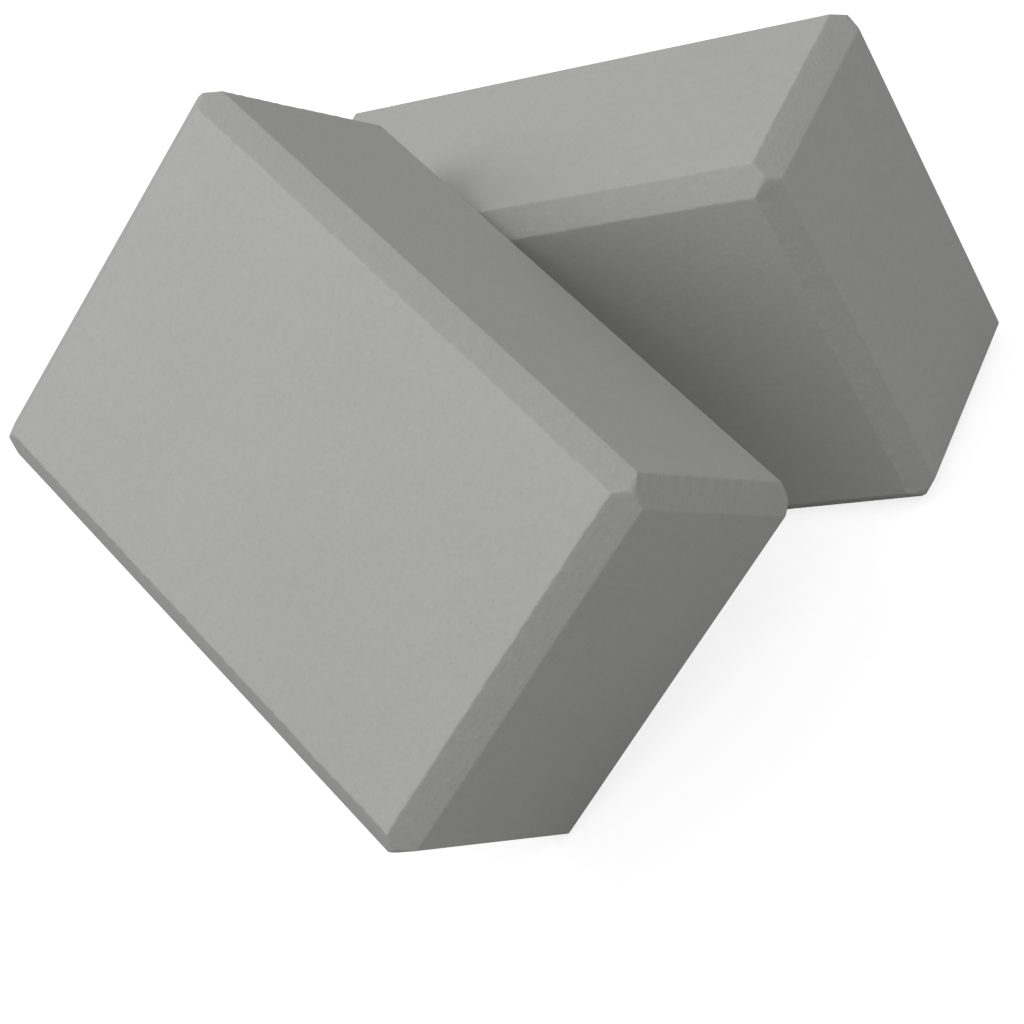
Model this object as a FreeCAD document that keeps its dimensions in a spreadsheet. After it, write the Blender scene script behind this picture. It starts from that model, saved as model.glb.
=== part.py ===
"""A pair of foam yoga blocks: one stands on its long narrow side, the other leans on it.

Each block is one solid piece of closed-cell foam, sawn to size and then bevelled along all
twelve edges with straight cuts, so that three bevels meet in a point at every corner. The
leaning block stands on one such corner and lies with its broad back on the standing block's
top front bevel.

Frame: millimetres, +Z up, X along the standing block, Y towards its back, origin at the
middle of the face that the standing block rests on.
"""
import FreeCAD, Part
import enum
import os
import Sketcher

# Driving dimensions, lengths in millimetres and angles in degrees
SIZES = {
    "block_length": "228.6",
    "block_width": "152.4",
    "block_thickness": "101.6",
    "edge_bevel": "7.8",
    "lean_tilt": "45",
    "lean_turn": "42.5",
    "lean_shift": "-15",
    "seat_clearance": "0.3",
    "cut_overrun": "10",
}

# How high the leaning block's middle is above the corner that it stands on
CORNER_DROP = (
    "(sin(Sizes.lean_tilt) * sin(Sizes.lean_turn) * (Sizes.block_length - Sizes.edge_bevel) / 2"
    " + sin(Sizes.lean_tilt) * cos(Sizes.lean_turn) * (Sizes.block_width - Sizes.edge_bevel) / 2"
    " + cos(Sizes.lean_tilt) * (Sizes.block_thickness - Sizes.edge_bevel) / 2)"
)

# How far the standing block's top front bevel reaches along the leaning block's thickness
BEVEL_REACH = (
    "max(sin(Sizes.lean_tilt) * Sizes.block_thickness / 2"
    " + cos(Sizes.lean_tilt) * (Sizes.block_width - Sizes.edge_bevel);"
    " sin(Sizes.lean_tilt) * (Sizes.block_thickness / 2 - Sizes.edge_bevel)"
    " + cos(Sizes.lean_tilt) * Sizes.block_width)"
)

# The same way, to the leaning block's middle
SEAT_REACH = f"({BEVEL_REACH} + Sizes.seat_clearance + Sizes.block_thickness / 2)"

# Broad faces upright, long narrow side down
STANDING_PLACE = (
    "placement(vector(0; 0; Sizes.block_width / 2); rotation(vector(1; 0; 0); 90))"
)

# Tipped back by the tilt after being turned in the plane of its broad faces
LEANING_PLACE = (
    "placement("
    f"vector(Sizes.lean_shift; ({CORNER_DROP} * cos(Sizes.lean_tilt) - {SEAT_REACH})"
    f" / sin(Sizes.lean_tilt); {CORNER_DROP});"
    " rotation(vector(1; 0; 0); Sizes.lean_tilt) * rotation(vector(0; 0; 1); -Sizes.lean_turn))"
)

# Printed volumes are in litres
CUBIC_MM_IN_LITRE = 1e6


class Axis(enum.IntEnum):
    """A sketch's own axes, by the index that constraints know them by."""
    HORIZONTAL = -1
    VERTICAL = -2


class Spot(enum.IntEnum):
    """A point of a line, by the index that constraints know it by."""
    START = 1
    END = 2


# A sketch's origin is where its horizontal axis starts
ROOT_POINT = (Axis.HORIZONTAL, Spot.START)


def make_sheet(doc):
    """Puts every driving dimension into the sheet under its own name."""
    sheet = doc.addObject("Spreadsheet::Sheet", "Sizes")
    for row, (alias, value) in enumerate(SIZES.items(), start=1):
        sheet.set(f"A{row}", value)
        sheet.setAlias(f"A{row}", alias)
    doc.recompute()
    return sheet


def sheet_value(sheet, alias):
    return float(sheet.get(alias))


def add_ring(sketch, points):
    """Adds a closed ring of straight lines and returns their indexes in order."""
    corners = [FreeCAD.Vector(x, y, 0) for x, y in points]
    lines = [
        sketch.addGeometry(Part.LineSegment(here, there))
        for here, there in zip(corners, corners[1:] + corners[:1])
    ]
    for line, following in zip(lines, lines[1:] + lines[:1]):
        sketch.addConstraint(
            Sketcher.Constraint("Coincident", line, Spot.END, following, Spot.START)
        )
    return lines


def add_size(sketch, name, kind, first_end, second_end, value, expression):
    """Adds a named distance between two line ends and binds it to the sheet."""
    index = sketch.addConstraint(Sketcher.Constraint(kind, *first_end, *second_end, value))
    sketch.renameConstraint(index, name)
    sketch.setExpression(f"Constraints.{name}", expression)


def add_bevelled_outline(sketch, sheet, across, along):
    """Draws a rectangle with its four corners cut at 45 degrees, centred on the sketch's origin."""
    half_across = sheet_value(sheet, across) / 2
    half_along = sheet_value(sheet, along) / 2
    bevel = sheet_value(sheet, "edge_bevel")
    inner_across, inner_along = half_across - bevel, half_along - bevel
    bottom, cut, right, _, top, _, left, _ = add_ring(sketch, [
        (-inner_across, -half_along), (inner_across, -half_along),
        (half_across, -inner_along), (half_across, inner_along),
        (inner_across, half_along), (-inner_across, half_along),
        (-half_across, inner_along), (-half_across, -inner_along),
    ])
    for side, axis in ((bottom, Axis.VERTICAL), (top, Axis.VERTICAL),
                       (right, Axis.HORIZONTAL), (left, Axis.HORIZONTAL)):
        sketch.addConstraint(
            Sketcher.Constraint("Symmetric", side, Spot.START, side, Spot.END, axis)
        )
    sketch.addConstraint(
        Sketcher.Constraint("Symmetric", left, Spot.END, right, Spot.START, Axis.VERTICAL)
    )
    sketch.addConstraint(
        Sketcher.Constraint("Symmetric", bottom, Spot.START, top, Spot.END, Axis.HORIZONTAL)
    )
    add_size(sketch, "across", "DistanceX", (left, Spot.END), (right, Spot.START),
             2 * half_across, f"Sizes.{across}")
    add_size(sketch, "along", "DistanceY", (bottom, Spot.START), (top, Spot.END),
             2 * half_along, f"Sizes.{along}")
    add_size(sketch, "bevel_across", "DistanceX", (cut, Spot.START), (cut, Spot.END),
             bevel, "Sizes.edge_bevel")
    add_size(sketch, "bevel_along", "DistanceY", (cut, Spot.START), (cut, Spot.END),
             bevel, "Sizes.edge_bevel")


def add_waste_border(sketch, sheet, across, along):
    """Draws the plain rectangle outside the blank, up to which the waste is cut away."""
    overrun = sheet_value(sheet, "cut_overrun")
    half_across = sheet_value(sheet, across) / 2 + overrun
    half_along = sheet_value(sheet, along) / 2 + overrun
    bottom, right, top, left = add_ring(sketch, [
        (-half_across, -half_along), (half_across, -half_along),
        (half_across, half_along), (-half_across, half_along),
    ])
    for side, direction in ((bottom, "Horizontal"), (right, "Vertical"),
                            (top, "Horizontal"), (left, "Vertical")):
        sketch.addConstraint(Sketcher.Constraint(direction, side))
    sketch.addConstraint(
        Sketcher.Constraint("Symmetric", bottom, Spot.START, top, Spot.START, *ROOT_POINT)
    )
    add_size(sketch, "border_across", "DistanceX", (bottom, Spot.START), (bottom, Spot.END),
             2 * half_across, f"Sizes.{across} + 2 * Sizes.cut_overrun")
    add_size(sketch, "border_along", "DistanceY", (right, Spot.START), (right, Spot.END),
             2 * half_along, f"Sizes.{along} + 2 * Sizes.cut_overrun")


def new_sketch(body, name, plane):
    """Makes an empty sketch on one of the body's own origin planes."""
    sketch = body.newObject("Sketcher::SketchObject", name)
    support = next(item for item in body.Origin.OriginFeatures if item.Role == plane)
    sketch.AttachmentSupport = (support, [""])
    sketch.MapMode = "FlatFace"
    return sketch


def saw_blank(doc, sheet, body):
    """Pads the broad outline, with its four short edges already bevelled, to the thickness."""
    outline = new_sketch(body, f"{body.Name}_outline", "XY_Plane")
    add_bevelled_outline(outline, sheet, "block_length", "block_width")
    blank = body.newObject("PartDesign::Pad", f"{body.Name}_blank")
    blank.Profile = outline
    blank.SideType = "Symmetric"
    blank.setExpression("Length", "Sizes.block_thickness")
    doc.recompute()
    return blank


def cut_bevels(doc, sheet, body, name, plane, across, along):
    """Cuts away what lies outside the bevelled outline seen square to one of the planes."""
    before = body.Shape.Volume
    section = new_sketch(body, f"{body.Name}_{name}_section", plane)
    add_bevelled_outline(section, sheet, across, along)
    add_waste_border(section, sheet, across, along)
    cut = body.newObject("PartDesign::Pocket", f"{body.Name}_{name}_bevels")
    cut.Profile = section
    cut.Type = "ThroughAll"
    cut.SideType = "Symmetric"
    doc.recompute()
    if not body.Shape.Volume < before:
        raise RuntimeError(f"the {name} bevels of {body.Label} cut nothing")


def make_block(doc, sheet, label, place):
    """Makes one block about its own middle and sets it in its place."""
    body = doc.addObject("PartDesign::Body", label)
    body.Label = label
    saw_blank(doc, sheet, body)
    cut_bevels(doc, sheet, body, "long", "YZ_Plane", "block_width", "block_thickness")
    cut_bevels(doc, sheet, body, "cross", "XZ_Plane", "block_length", "block_thickness")
    body.setExpression("Placement", place)
    doc.recompute()
    return body


def check(doc, blocks):
    """Stops before anything is written if an object failed or a block isn't one sound solid."""
    for item in doc.Objects:
        if "Invalid" in item.State or "Error" in item.State:
            raise RuntimeError(f"{item.Label} failed: {item.State}")
    for block in blocks:
        shape = block.Shape
        if shape.isNull() or not shape.isValid() or len(shape.Solids) != 1:
            raise RuntimeError(f"{block.Label} isn't one valid solid")


def main():
    doc = FreeCAD.newDocument("foam_yoga_blocks")
    sheet = make_sheet(doc)
    blocks = [
        make_block(doc, sheet, "standing_block", STANDING_PLACE),
        make_block(doc, sheet, "leaning_block", LEANING_PLACE),
    ]
    check(doc, blocks)
    os.makedirs("parts", exist_ok=True)
    for block in blocks:
        block.Shape.exportStep(f"parts/{block.Label}.step")
        litres = block.Shape.Volume / CUBIC_MM_IN_LITRE
        print(f"{block.Label}: {litres:.4f} litres, lowest at {block.Shape.BoundBox.ZMin:.3f} mm")
    gap = blocks[0].Shape.distToShape(blocks[1].Shape)[0]
    print(f"gap between the blocks {gap:.3f} mm")


main()
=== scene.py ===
"""Dresses a pair of foam yoga blocks: sawn foam surfaces, a closed-cell foam finish and a stage.

Everything is in metres in the part's own frame: +Z up, X along the standing block, Y towards
its back, origin at the middle of the face that the standing block rests on.
"""

import math

import bpy
import numpy as np
from mathutils import Matrix, Vector


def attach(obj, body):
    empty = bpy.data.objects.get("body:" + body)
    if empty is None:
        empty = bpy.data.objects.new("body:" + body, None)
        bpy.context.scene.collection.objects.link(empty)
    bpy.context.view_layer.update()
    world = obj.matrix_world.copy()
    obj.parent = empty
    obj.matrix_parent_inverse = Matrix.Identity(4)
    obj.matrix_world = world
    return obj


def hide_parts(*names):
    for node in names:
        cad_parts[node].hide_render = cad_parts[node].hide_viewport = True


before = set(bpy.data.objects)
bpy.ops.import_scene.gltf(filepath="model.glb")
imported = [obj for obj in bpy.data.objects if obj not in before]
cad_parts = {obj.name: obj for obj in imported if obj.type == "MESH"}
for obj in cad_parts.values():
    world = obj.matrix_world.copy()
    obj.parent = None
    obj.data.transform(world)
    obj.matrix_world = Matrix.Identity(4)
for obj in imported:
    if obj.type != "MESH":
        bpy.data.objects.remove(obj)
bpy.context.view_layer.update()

bl_info = {
    "name": "Foam Yoga Blocks",
    "version": (1, 0, 0),
    "blender": (4, 5, 0),
    "location": "View3D > Sidebar > Foam Blocks",
    "description": "Makes a standing and a leaning foam yoga block and the stage they are seen on",
    "category": "Object",
}

# One millimetre in metres
MM = 0.001

# Seeds of the two blocks' random draws
STANDING_SEED = 1
LEANING_SEED = 2

# Points this near to a face's plane count as on it
SAME_PLANE = 0.05 * MM

# The core that rays leave from lies this many bevel legs inside the block's faces
CORE_INSET_LEGS = 2

# Grid lines round one edge of a block, and how closely they gather at the bevel's edges
EDGE_LINES = 23
EDGE_GATHER = 3.0

# Waves that the saw and the foam leave, shortest and longest, in metres
SAW_WAVES = (16 * MM, 80 * MM)
NICK_WAVES = (4.5 * MM, 10 * MM)
FACE_WAVES = (70 * MM, 190 * MM)
WAVES_PER_CUT = 4

# Nicks fade away from a bevel's broader face as this power of the way across it
NICK_FADE = 3

# Rays that run this nearly along a cut never meet it
GRAZING = 1e-6

# A cell's bump is as deep as this share of its width, and shows more on a bevel than on a face
CELL_DEPTH_SHARE = 0.3
FACE_GRAIN = 0.13
BEVEL_GRAIN = 0.25

# The pit of a larger cell is as deep as this share of its width
PIT_DEPTH_SHARE = 0.05

# Clouds in the foam's colour: octaves, and how strong each is beside the one before
CLOUD_DETAIL = 4.0
CLOUD_ROUGHNESS = 0.6

# Where two cuts count alike, neither has more than this share
SHARP_EDGE = 0.5

# Ethylene vinyl acetate, and how much of its gloss the cut cells leave
EVA_IOR = 1.48
EVA_SPECULAR = 0.35

# Width of the camera's sensor in millimetres
SENSOR_WIDTH = 36.0


def linear(hex_colour):
    """Turns an sRGB hex colour into linear red, green and blue."""
    srgb = [int(hex_colour[i:i + 2], 16) / 255 for i in (1, 3, 5)]
    return tuple(c / 12.92 if c <= 0.04045 else ((c + 0.055) / 1.055) ** 2.4 for c in srgb)


class FoamCut(bpy.types.PropertyGroup):
    """How the blocks were cut."""
    edge_softness: bpy.props.FloatProperty(
        name="Edge softness", description="How far a cut edge is rounded over",
        default=0.16 * MM, min=0.05 * MM, unit="LENGTH", precision=5)
    bevel_spread: bpy.props.FloatProperty(
        name="Bevel spread", description="How much deeper the deepest bevel of a block is cut",
        default=0.35 * MM, min=0, unit="LENGTH", precision=5)
    saw_wander: bpy.props.FloatProperty(
        name="Saw wander", description="How far a bevel strays inwards along its broader face",
        default=0.25 * MM, min=0, unit="LENGTH", precision=5)
    edge_nicks: bpy.props.FloatProperty(
        name="Edge nicks", description="How far the cutter's short chatter reaches inwards there",
        default=0.45 * MM, min=0, unit="LENGTH", precision=5)
    face_ripple: bpy.props.FloatProperty(
        name="Face ripple", description="How far a sawn face dips",
        default=0.25 * MM, min=0, unit="LENGTH", precision=5)
    grid_step: bpy.props.FloatProperty(
        name="Grid step", description="Distance between grid lines on a block's faces",
        default=1.6 * MM, min=1 * MM, unit="LENGTH", precision=4)


class FoamFinish(bpy.types.PropertyGroup):
    """What the foam looks like."""
    colour: bpy.props.FloatVectorProperty(
        name="Foam colour", description="Colour of the foam",
        default=linear("#AAAAA8"), min=0, max=1, subtype="COLOR")
    cell_size: bpy.props.FloatProperty(
        name="Cell size", description="Width of a cut foam cell, as drawn",
        default=1.5 * MM, min=0.1 * MM, unit="LENGTH", precision=5)
    cell_contrast: bpy.props.FloatProperty(
        name="Cell contrast", description="How much cells differ in lightness",
        default=0.026, min=0, max=1, subtype="FACTOR")
    cloud_size: bpy.props.FloatProperty(
        name="Cloud size", description="Width of the faint clouds in the foam's colour",
        default=45 * MM, min=1 * MM, unit="LENGTH", precision=4)
    cloud_contrast: bpy.props.FloatProperty(
        name="Cloud contrast", description="How much the clouds differ in lightness",
        default=0.03, min=0, max=1, subtype="FACTOR")
    speck_size: bpy.props.FloatProperty(
        name="Speck size", description="Width of the odd larger cell that was cut open",
        default=1.2 * MM, min=0.1 * MM, unit="LENGTH", precision=5)
    speck_spacing: bpy.props.FloatProperty(
        name="Speck spacing", description="Distance between the larger cells in the foam",
        default=4.5 * MM, min=1 * MM, unit="LENGTH", precision=4)
    speck_contrast: bpy.props.FloatProperty(
        name="Speck contrast", description="How much the larger cells differ in lightness",
        default=0.2, min=0, max=1, subtype="FACTOR")
    # Painted shade: the bevels' colour is darkened by this share, standing in for shade in their
    # torn cells
    bevel_shade: bpy.props.FloatProperty(
        name="Painted bevel shade", description="How much darker the torn cells of the bevels are",
        default=0.095, min=0, max=1, subtype="FACTOR")
    # Painted highlight: the colour is made paler by this share along the edges, standing in for
    # light that catches them
    edge_rub: bpy.props.FloatProperty(
        name="Painted edge highlight", description="How much paler the foam is along its edges",
        default=0.03, min=0, max=1, subtype="FACTOR")
    roughness: bpy.props.FloatProperty(
        name="Roughness", description="Roughness of the foam",
        default=0.9, min=0, max=1, subtype="FACTOR")


class StageSettings(bpy.types.PropertyGroup):
    """Floor, light and camera."""
    floor_width: bpy.props.FloatProperty(
        name="Floor width", description="Width of the square floor",
        default=12.0, min=1, unit="LENGTH")
    floor_colour: bpy.props.FloatVectorProperty(
        name="Floor colour", description="Colour of the floor",
        default=linear("#A8A8A8"), min=0, max=1, subtype="COLOR")
    floor_lift: bpy.props.FloatProperty(
        name="Floor lift",
        description="How much the floor is brightened towards white for the eye alone",
        default=0.8, min=0, max=1, subtype="FACTOR")
    sky_strength: bpy.props.FloatProperty(
        name="Sky strength", description="Strength of the even light from all around",
        default=0.48, min=0)
    key_power: bpy.props.FloatProperty(
        name="Key power", description="Power of the large soft lamp",
        default=7.1, min=0, unit="POWER")
    key_width: bpy.props.FloatProperty(
        name="Key width", description="Width of the large soft lamp",
        default=1.0, min=0.1, unit="LENGTH")
    key_towards: bpy.props.FloatVectorProperty(
        name="Key direction", description="Where the lamp hangs, seen from the blocks",
        default=(-0.44, -0.23, 0.87), subtype="DIRECTION")
    key_distance: bpy.props.FloatProperty(
        name="Key distance", description="How far the lamp hangs from the blocks",
        default=1.3, min=0.1, unit="LENGTH")
    fill_power: bpy.props.FloatProperty(
        name="Fill power", description="Power of the lamp that lightens the shaded sides",
        default=11.0, min=0, unit="POWER")
    fill_width: bpy.props.FloatProperty(
        name="Fill width", description="Width of the lamp that lightens the shaded sides",
        default=0.9, min=0.1, unit="LENGTH")
    fill_towards: bpy.props.FloatVectorProperty(
        name="Fill direction", description="Where that lamp hangs, seen from the blocks",
        default=(0.54, -0.46, 0.71), subtype="DIRECTION")
    fill_distance: bpy.props.FloatProperty(
        name="Fill distance", description="How far that lamp hangs from the blocks",
        default=2.2, min=0.1, unit="LENGTH")
    aim: bpy.props.FloatVectorProperty(
        name="Aim", description="Point that the camera looks at",
        default=(0.0109, -0.1296, 0.0857), subtype="TRANSLATION", unit="LENGTH", precision=4)
    distance: bpy.props.FloatProperty(
        name="Camera distance", description="Distance from the camera to its aim",
        default=1.0, min=0.1, unit="LENGTH")
    azimuth: bpy.props.FloatProperty(
        name="Azimuth", description="Camera's turn from straight in front towards the right",
        default=math.radians(42.56), subtype="ANGLE")
    elevation: bpy.props.FloatProperty(
        name="Elevation", description="Camera's height angle",
        default=math.radians(31.80), subtype="ANGLE")
    roll: bpy.props.FloatProperty(
        name="Roll", description="Camera's turn about its own line of sight",
        default=math.radians(-31.82), subtype="ANGLE")
    lens: bpy.props.FloatProperty(
        name="Lens", description="Focal length", default=102.2, min=10, unit="CAMERA")


def block_place(node):
    """Reads a block's middle, axes, half sizes and bevel leg from its CAD node.

    The axes are those of the sum of area times normal times normal over the faces: most area
    faces along the thickness, less along the width, least along the length.
    """
    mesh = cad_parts[node].data
    points = np.empty(3 * len(mesh.vertices), np.float32)
    normals = np.empty(3 * len(mesh.polygons), np.float32)
    areas = np.empty(len(mesh.polygons), np.float32)
    mesh.vertices.foreach_get("co", points)
    mesh.polygons.foreach_get("normal", normals)
    mesh.polygons.foreach_get("area", areas)
    points = points.reshape(-1, 3).astype(float)
    normals = normals.reshape(-1, 3).astype(float)
    _, axes = np.linalg.eigh((normals * areas[:, None]).T @ normals)
    largest = np.abs(axes).argmax(axis=0)
    axes = axes * np.sign(axes[largest, range(3)])
    axes[:, 2] = np.cross(axes[:, 0], axes[:, 1])
    local = points @ axes
    low, high = local.min(axis=0), local.max(axis=0)
    half = (high - low) / 2
    on_broad_face = local[:, 2] > high[2] - SAME_PLANE
    bevel = high[0] - local[on_broad_face, 0].max()
    return axes @ (low + half), axes, half, bevel


def edge_stations(half, inset, step):
    """Grid lines along one axis, each a place on the core and a slope of the ray that leaves it.

    Along the flat, the place goes in even steps over the core's side and the slope is 0. Round
    an edge, the place stays at the core's end and the slope goes from 0 to 1, as half of
    1 + sinh(g u) / sinh(g) with u from -1 to 1, which gathers lines at the bevel's edge.
    """
    reach = half - inset
    flat = np.linspace(-reach, reach, 1 + math.ceil(2 * reach / step))
    u = np.linspace(-1, 1, EDGE_LINES)[1:]
    turn = (1 + np.sinh(EDGE_GATHER * u) / math.sinh(EDGE_GATHER)) / 2
    end = np.full(turn.size, reach)
    place = np.concatenate([-end, flat, end])
    slope = np.concatenate([-turn[::-1], np.zeros(flat.size), turn])
    return place, slope


def shell_quads(counts):
    """Quads over the outside of a box of grid points, as numbers of the points, facing outwards."""
    number = np.arange(np.prod(counts)).reshape(counts)
    quads = []
    for axis in range(3):
        turned = np.moveaxis(number, [axis, (axis + 1) % 3, (axis + 2) % 3], [0, 1, 2])
        for side, sheet in ((1, turned[-1]), (-1, turned[0])):
            ring = [sheet[:-1, :-1], sheet[1:, :-1], sheet[1:, 1:], sheet[:-1, 1:]]
            quads.append(np.stack(ring, axis=-1).reshape(-1, 4)[:, ::side])
    return np.concatenate(quads)


def cut_planes(half, bevel):
    """Outward normals, distances and kinds of the 6 faces and 12 bevels of a block.

    A bevel's normal is the mean of its two faces' normals, and its plane passes one leg in from
    the edge along both faces.
    """
    faces = np.concatenate([np.eye(3), -np.eye(3)])
    first, second = np.triu_indices(6, 1)
    pairs = faces[first] + faces[second]
    bevels = pairs[np.abs(pairs).sum(axis=1) > 1]
    reach = np.concatenate([np.abs(faces) @ half, np.abs(bevels) @ half - bevel])
    normals = np.concatenate([faces, bevels])
    length = np.linalg.norm(normals, axis=1)
    is_bevel = np.arange(len(normals)) >= len(faces)
    return normals / length[:, None], reach / length, is_bevel


def wave_sum(points, directions, waves, rng):
    """Mean of sines over points, from 0 to 1, for each cut.

    Each cut has some waves, with lengths drawn between the shortest and the longest and phases
    drawn at random, that run in its own directions: sin(2 pi (p . direction / length) + phase).
    """
    lengths = rng.uniform(*waves, directions.shape[:2])
    phases = rng.uniform(0, 2 * math.pi, directions.shape[:2])
    turns = np.einsum("pk,cwk->pcw", points, directions / lengths[..., None])
    return (1 + np.sin(2 * math.pi * turns + phases).mean(axis=2)) / 2


def wave_directions(normals, is_bevel, rng):
    """Unit directions for each cut's waves: along the edge on a bevel, any way in a face's plane.

    A face's are drawn at random and lose their part along the normal. A bevel's normal is 0
    along its edge alone, so its direction is 1 there.
    """
    drawn = rng.normal(size=(len(normals), WAVES_PER_CUT, 3))
    in_plane = drawn - (drawn * normals[:, None]).sum(axis=2, keepdims=True) * normals[:, None]
    along_edge = np.where(np.abs(normals) > 0, 0.0, 1.0)[:, None] * np.ones_like(drawn)
    chosen = np.where(is_bevel[:, None, None], along_edge, in_plane)
    return chosen / np.linalg.norm(chosen, axis=2, keepdims=True)


def across_bevel(points, half, bevel, normals):
    """How far across each bevel points lie, from 0 at its narrower face to 1 at its broader one.

    That is the depth below the narrower face over the bevel's leg. The axes go from the
    narrowest faces' to the broadest's, so the narrower face is the first of the two.
    """
    narrower = np.abs(normals).argmax(axis=1)
    outwards = np.sign(normals[range(len(normals)), narrower])
    return np.clip((half[narrower] - points[:, narrower] * outwards) / bevel, 0, 1)


def sawn_block(half, bevel, cut, seed):
    """Points, quads, bevel shares and edge shares of a sawn foam block about its own middle.

    Each grid point is where a ray from the core, a smaller box, meets the nearest of the 18
    cut planes, at t = (plane - n . core) / (n . ray). The nearest is a smooth one,
    -s log(sum exp(-t / s)), which rounds the edges over by the softness s. Every plane is
    drawn inwards a little: a face by slow waves, and a bevel by its own drawn depth, by the
    saw's waves, more towards its broader face, and by short nicks close to that face. So the
    block stays inside its CAD solid, and a bevel is crisp along its narrower face and ragged
    along the other.
    """
    rng = np.random.default_rng(seed)
    inset = CORE_INSET_LEGS * bevel
    lines = [edge_stations(h, inset, cut.grid_step) for h in half]
    counts = [place.size for place, _ in lines]
    numbers, quads = np.unique(shell_quads(counts), return_inverse=True)
    index = np.unravel_index(numbers, counts)
    core = np.stack([place[i] for (place, _), i in zip(lines, index)], axis=1)
    ray = np.stack([slope[i] for (_, slope), i in zip(lines, index)], axis=1)
    ray /= np.linalg.norm(ray, axis=1, keepdims=True)

    normals, reach, is_bevel = cut_planes(half, bevel)
    advance = ray @ normals.T
    advance = np.where(advance > GRAZING, advance, np.nan)
    distance = (reach - core @ normals.T) / advance
    hit = core + np.nanmin(distance, axis=1)[:, None] * ray

    directions = wave_directions(normals, is_bevel, rng)
    saw = wave_sum(hit, directions, SAW_WAVES, rng) * cut.saw_wander
    nicks = wave_sum(hit, directions, NICK_WAVES, rng) * cut.edge_nicks
    ripple = wave_sum(hit, directions, FACE_WAVES, rng) * cut.face_ripple
    spread = rng.uniform(0, cut.bevel_spread, len(normals))
    across = across_bevel(hit, half, bevel, normals)
    stray = spread + saw * across + nicks * across ** NICK_FADE
    distance = distance - np.where(is_bevel, stray, ripple) / advance

    nearest = np.nanmin(distance, axis=1, keepdims=True)
    weight = np.nan_to_num(np.exp((nearest - distance) / cut.edge_softness))
    total = weight.sum(axis=1)
    stop = nearest[:, 0] - cut.edge_softness * np.log(total)
    weight /= total[:, None]
    points = core + stop[:, None] * ray
    bevel_share = weight[:, is_bevel].sum(axis=1)
    return points, quads.reshape(-1, 4), bevel_share, 1 - weight.max(axis=1)


def add_node(tree, kind, inputs=None, **settings):
    """Adds a node, sets it up and fills its sockets with values or links."""
    node = tree.nodes.new(kind)
    for name, value in settings.items():
        setattr(node, name, value)
    for name, value in (inputs or {}).items():
        if isinstance(value, bpy.types.NodeSocket):
            tree.links.new(value, node.inputs[name])
        else:
            node.inputs[name].default_value = value
    return node


def empty_tree(owner):
    """Switches an owner to nodes and clears them."""
    owner.use_nodes = True
    owner.node_tree.nodes.clear()
    return owner.node_tree


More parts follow.
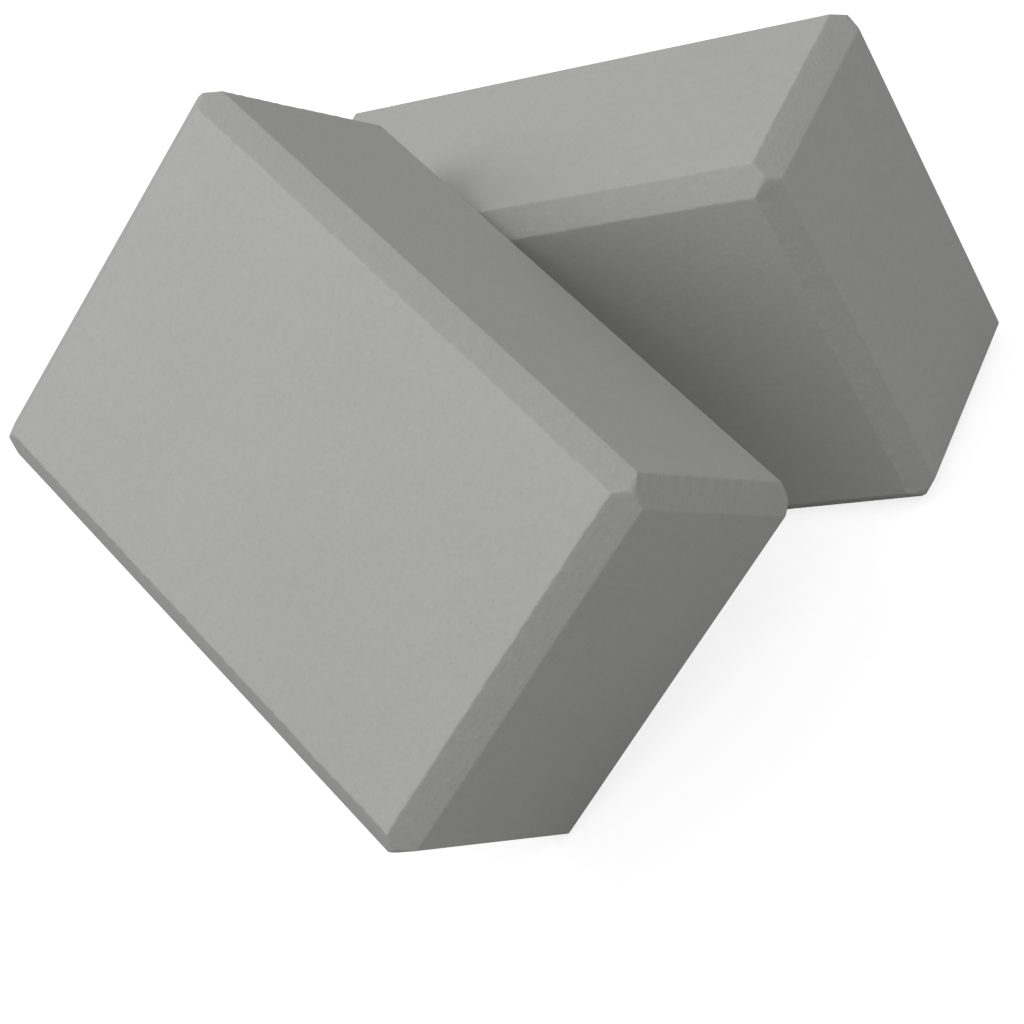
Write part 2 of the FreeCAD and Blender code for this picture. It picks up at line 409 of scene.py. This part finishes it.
def eva_foam(finish):
    """Closed-cell EVA foam, sawn: dull all over, with a fine grain of cut cells.

    Real cells are about 0.3 mm wide, too fine to show, so they are drawn five times as wide.
    The odd larger cell shows as a shallow pit, paler or darker than the rest. The routed bevels
    are grainier than the skived faces, and painted shade darkens their colour for the shade that
    torn cells hold; a painted highlight makes the colour a little paler along the edges.
    """
    material = bpy.data.materials.get("eva_foam_sawn")
    if material:
        return material
    material = bpy.data.materials.new("eva_foam_sawn")
    tree = empty_tree(material)
    place = add_node(tree, "ShaderNodeTexCoord").outputs["Object"]
    bevel = add_node(tree, "ShaderNodeAttribute", attribute_name="bevel_share").outputs["Fac"]
    edge = add_node(tree, "ShaderNodeAttribute", attribute_name="edge_share").outputs["Fac"]

    cells = add_node(tree, "ShaderNodeTexVoronoi",
                     {"Vector": place, "Scale": 1 / finish.cell_size, "Randomness": 1.0})
    cell_tone = add_node(tree, "ShaderNodeMapRange",
                         {"Value": cells.outputs["Color"],
                          "To Min": 1 - finish.cell_contrast,
                          "To Max": 1 + finish.cell_contrast})
    clouds = add_node(tree, "ShaderNodeTexNoise",
                      {"Vector": place, "Scale": 1 / finish.cloud_size,
                       "Detail": CLOUD_DETAIL, "Roughness": CLOUD_ROUGHNESS})
    cloud_tone = add_node(tree, "ShaderNodeMapRange",
                          {"Value": clouds.outputs["Fac"],
                           "To Min": 1 - finish.cloud_contrast,
                           "To Max": 1 + finish.cloud_contrast})
    specks = add_node(tree, "ShaderNodeTexVoronoi",
                      {"Vector": place, "Scale": 1 / finish.speck_spacing, "Randomness": 1.0})
    speck_reach = finish.speck_size / 2 / finish.speck_spacing
    speck_share = add_node(tree, "ShaderNodeMapRange",
                           {"Value": specks.outputs["Distance"], "From Max": speck_reach,
                            "To Min": finish.speck_contrast, "To Max": 0.0})
    speck_side = add_node(tree, "ShaderNodeMapRange",
                          {"Value": specks.outputs["Color"], "To Min": -1.0, "To Max": 1.0})
    speck_tone = add_node(tree, "ShaderNodeMath",
                          {0: speck_share.outputs[0], 1: speck_side.outputs[0], 2: 1.0},
                          operation="MULTIPLY_ADD")
    # Painted shade on the bevels: their colour is darkened
    painted_bevel_shade_tone = add_node(tree, "ShaderNodeMapRange",
                          {"Value": bevel, "To Min": 1.0, "To Max": 1 - finish.bevel_shade})
    # Painted highlight along the edges: the colour is made paler there
    painted_edge_highlight_tone = add_node(tree, "ShaderNodeMapRange",
                         {"Value": edge, "From Max": SHARP_EDGE,
                          "To Min": 1.0, "To Max": 1 + finish.edge_rub})
    tone = cell_tone
    for other in (cloud_tone, speck_tone, painted_bevel_shade_tone, painted_edge_highlight_tone):
        tone = add_node(tree, "ShaderNodeMath",
                        {0: tone.outputs[0], 1: other.outputs[0]}, operation="MULTIPLY")
    colour = add_node(tree, "ShaderNodeVectorMath",
                      {0: tuple(finish.colour), "Scale": tone.outputs[0]}, operation="SCALE")

    grain = add_node(tree, "ShaderNodeMapRange",
                     {"Value": bevel, "To Min": FACE_GRAIN, "To Max": BEVEL_GRAIN})
    cell_bump = add_node(tree, "ShaderNodeBump",
                         {"Height": cells.outputs["Distance"], "Strength": grain.outputs[0],
                          "Distance": finish.cell_size * CELL_DEPTH_SHARE})
    pits = add_node(tree, "ShaderNodeMapRange",
                    {"Value": specks.outputs["Distance"], "From Max": speck_reach})
    pit_bump = add_node(tree, "ShaderNodeBump",
                        {"Height": pits.outputs[0], "Normal": cell_bump.outputs[0],
                         "Distance": finish.speck_size * PIT_DEPTH_SHARE})
    shader = add_node(tree, "ShaderNodeBsdfPrincipled",
                      {"Base Color": colour.outputs[0], "Normal": pit_bump.outputs[0],
                       "Roughness": finish.roughness, "IOR": EVA_IOR,
                       "Specular IOR Level": EVA_SPECULAR})
    add_node(tree, "ShaderNodeOutputMaterial", {"Surface": shader.outputs[0]})
    return material


def add_foam_piece(context, node, body, seed):
    """Makes the foam block that stands for a CAD node and hangs it on the node's body."""
    middle, axes, half, bevel = block_place(node)
    points, quads, bevel_share, edge_share = sawn_block(half, bevel, context.scene.foam_cut, seed)
    mesh = bpy.data.meshes.new(f"{node}_foam")
    mesh.vertices.add(len(points))
    mesh.vertices.foreach_set("co", (middle + points @ axes.T).ravel())
    mesh.loops.add(quads.size)
    mesh.polygons.add(len(quads))
    mesh.polygons.foreach_set("loop_start", np.arange(0, quads.size, 4))
    mesh.polygons.foreach_set("vertices", quads.ravel())
    mesh.update(calc_edges=True)
    mesh.shade_smooth()
    for name, values in (("bevel_share", bevel_share), ("edge_share", edge_share)):
        attribute = mesh.attributes.new(name, "FLOAT", "POINT")
        attribute.data.foreach_set("value", values.astype(np.float32))
    mesh.materials.append(eva_foam(context.scene.foam_finish))
    piece = bpy.data.objects.new(f"{node}_foam", mesh)
    context.scene.collection.objects.link(piece)
    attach(piece, body)
    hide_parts(node)


def seen_by_eye(tree):
    """1 for rays from the camera and for those that a glossy or clear surface sends on, else 0."""
    path = add_node(tree, "ShaderNodeLightPath").outputs
    eye = add_node(tree, "ShaderNodeMath",
                   {0: path["Is Camera Ray"], 1: path["Is Glossy Ray"]}, operation="MAXIMUM")
    eye = add_node(tree, "ShaderNodeMath",
                   {0: eye.outputs[0], 1: path["Is Transmission Ray"]}, operation="MAXIMUM")
    return eye.outputs[0]


def add_floor(context, stage):
    """Lays a pale floor that looks white where it is lit and keeps the blocks' shadow."""
    half = stage.floor_width / 2
    mesh = bpy.data.meshes.new("floor")
    mesh.from_pydata([(-half, -half, 0), (half, -half, 0), (half, half, 0), (-half, half, 0)],
                     [], [(0, 1, 2, 3)])
    material = bpy.data.materials.new("pale_studio_floor")
    tree = empty_tree(material)
    lift = add_node(tree, "ShaderNodeMath",
                    {0: seen_by_eye(tree), 1: stage.floor_lift}, operation="MULTIPLY")
    paint = add_node(tree, "ShaderNodeBsdfDiffuse", {"Color": (*stage.floor_colour, 1)})
    glow = add_node(tree, "ShaderNodeEmission", {"Strength": lift.outputs[0]})
    both = add_node(tree, "ShaderNodeAddShader", {0: paint.outputs[0], 1: glow.outputs[0]})
    add_node(tree, "ShaderNodeOutputMaterial", {"Surface": both.outputs[0]})
    mesh.materials.append(material)
    floor = bpy.data.objects.new("floor", mesh)
    context.scene.collection.objects.link(floor)


def add_sky(context, stage):
    """Even light from all around, which the eye sees as white."""
    world = bpy.data.worlds.new("studio_white")
    context.scene.world = world
    tree = empty_tree(world)
    strength = add_node(tree, "ShaderNodeMapRange",
                        {"Value": seen_by_eye(tree), "To Min": stage.sky_strength, "To Max": 1.0})
    sky = add_node(tree, "ShaderNodeBackground",
                   {"Color": (1, 1, 1, 1), "Strength": strength.outputs[0]})
    add_node(tree, "ShaderNodeOutputWorld", {"Surface": sky.outputs[0]})


def add_softbox(context, name, aim, towards, distance, width, power):
    """Hangs a round soft lamp in its direction from the aim and points it there."""
    lamp = bpy.data.lights.new(name, "AREA")
    lamp.shape = "DISK"
    lamp.size = width
    lamp.energy = power
    softbox = bpy.data.objects.new(name, lamp)
    away = Vector(towards).normalized()
    softbox.location = Vector(aim) + away * distance
    softbox.rotation_euler = away.to_track_quat("Z", "Y").to_euler()
    context.scene.collection.objects.link(softbox)


def add_camera(context, stage):
    """Sets the camera at its angles and distance from the aim, and rolls it about its own line."""
    data = bpy.data.cameras.new("camera")
    data.sensor_width = SENSOR_WIDTH
    data.lens = stage.lens
    camera = bpy.data.objects.new("camera", data)
    level = math.cos(stage.elevation)
    back = Vector((math.sin(stage.azimuth) * level, -math.cos(stage.azimuth) * level,
                   math.sin(stage.elevation)))
    upright = back.to_track_quat("Z", "Y").to_matrix()
    turned = upright @ Matrix.Rotation(stage.roll, 3, "Z")
    place = Matrix.Translation(Vector(stage.aim) + back * stage.distance)
    camera.matrix_world = place @ turned.to_4x4()
    context.scene.collection.objects.link(camera)
    context.scene.camera = camera


class FOAM_OT_standing_block(bpy.types.Operator):
    """Make the block that stands on its long narrow side"""
    bl_idname = "foam_blocks.standing_block"
    bl_label = "Standing block"

    def execute(self, context):
        add_foam_piece(context, "standing_block", "standing", STANDING_SEED)
        return {"FINISHED"}


class FOAM_OT_leaning_block(bpy.types.Operator):
    """Make the block that leans on the standing one"""
    bl_idname = "foam_blocks.leaning_block"
    bl_label = "Leaning block"

    def execute(self, context):
        add_foam_piece(context, "leaning_block", "leaning", LEANING_SEED)
        return {"FINISHED"}


class FOAM_OT_stage(bpy.types.Operator):
    """Make the floor, the light and the camera"""
    bl_idname = "foam_blocks.stage"
    bl_label = "Stage"

    def execute(self, context):
        stage = context.scene.foam_stage
        context.scene.view_settings.view_transform = "Standard"
        add_floor(context, stage)
        add_sky(context, stage)
        add_softbox(context, "key_softbox", stage.aim, stage.key_towards,
                    stage.key_distance, stage.key_width, stage.key_power)
        add_softbox(context, "fill_softbox", stage.aim, stage.fill_towards,
                    stage.fill_distance, stage.fill_width, stage.fill_power)
        add_camera(context, stage)
        return {"FINISHED"}


class FOAM_PT_blocks(bpy.types.Panel):
    """Lists the operators and their settings"""
    bl_idname = "FOAM_PT_blocks"
    bl_label = "Foam Yoga Blocks"
    bl_space_type = "VIEW_3D"
    bl_region_type = "UI"
    bl_category = "Foam Blocks"

    def draw(self, context):
        for operator in OPERATORS:
            self.layout.operator(operator.bl_idname)
        for name in SETTINGS:
            settings = getattr(context.scene, name)
            box = self.layout.box()
            for prop in settings.bl_rna.properties:
                if prop.identifier in settings.__annotations__:
                    box.prop(settings, prop.identifier)


SETTINGS = {"foam_cut": FoamCut, "foam_finish": FoamFinish, "foam_stage": StageSettings}
OPERATORS = (FOAM_OT_standing_block, FOAM_OT_leaning_block, FOAM_OT_stage)
CLASSES = (*SETTINGS.values(), *OPERATORS, FOAM_PT_blocks)


def register():
    for cls in CLASSES:
        bpy.utils.register_class(cls)
    for name, cls in SETTINGS.items():
        setattr(bpy.types.Scene, name, bpy.props.PointerProperty(type=cls))


def unregister():
    for name in SETTINGS:
        delattr(bpy.types.Scene, name)
    for cls in reversed(CLASSES):
        bpy.utils.unregister_class(cls)


def main():
    register()
    bpy.ops.foam_blocks.stage()
    bpy.ops.foam_blocks.standing_block()
    bpy.ops.foam_blocks.leaning_block()


if __name__ == "__main__":
    main()
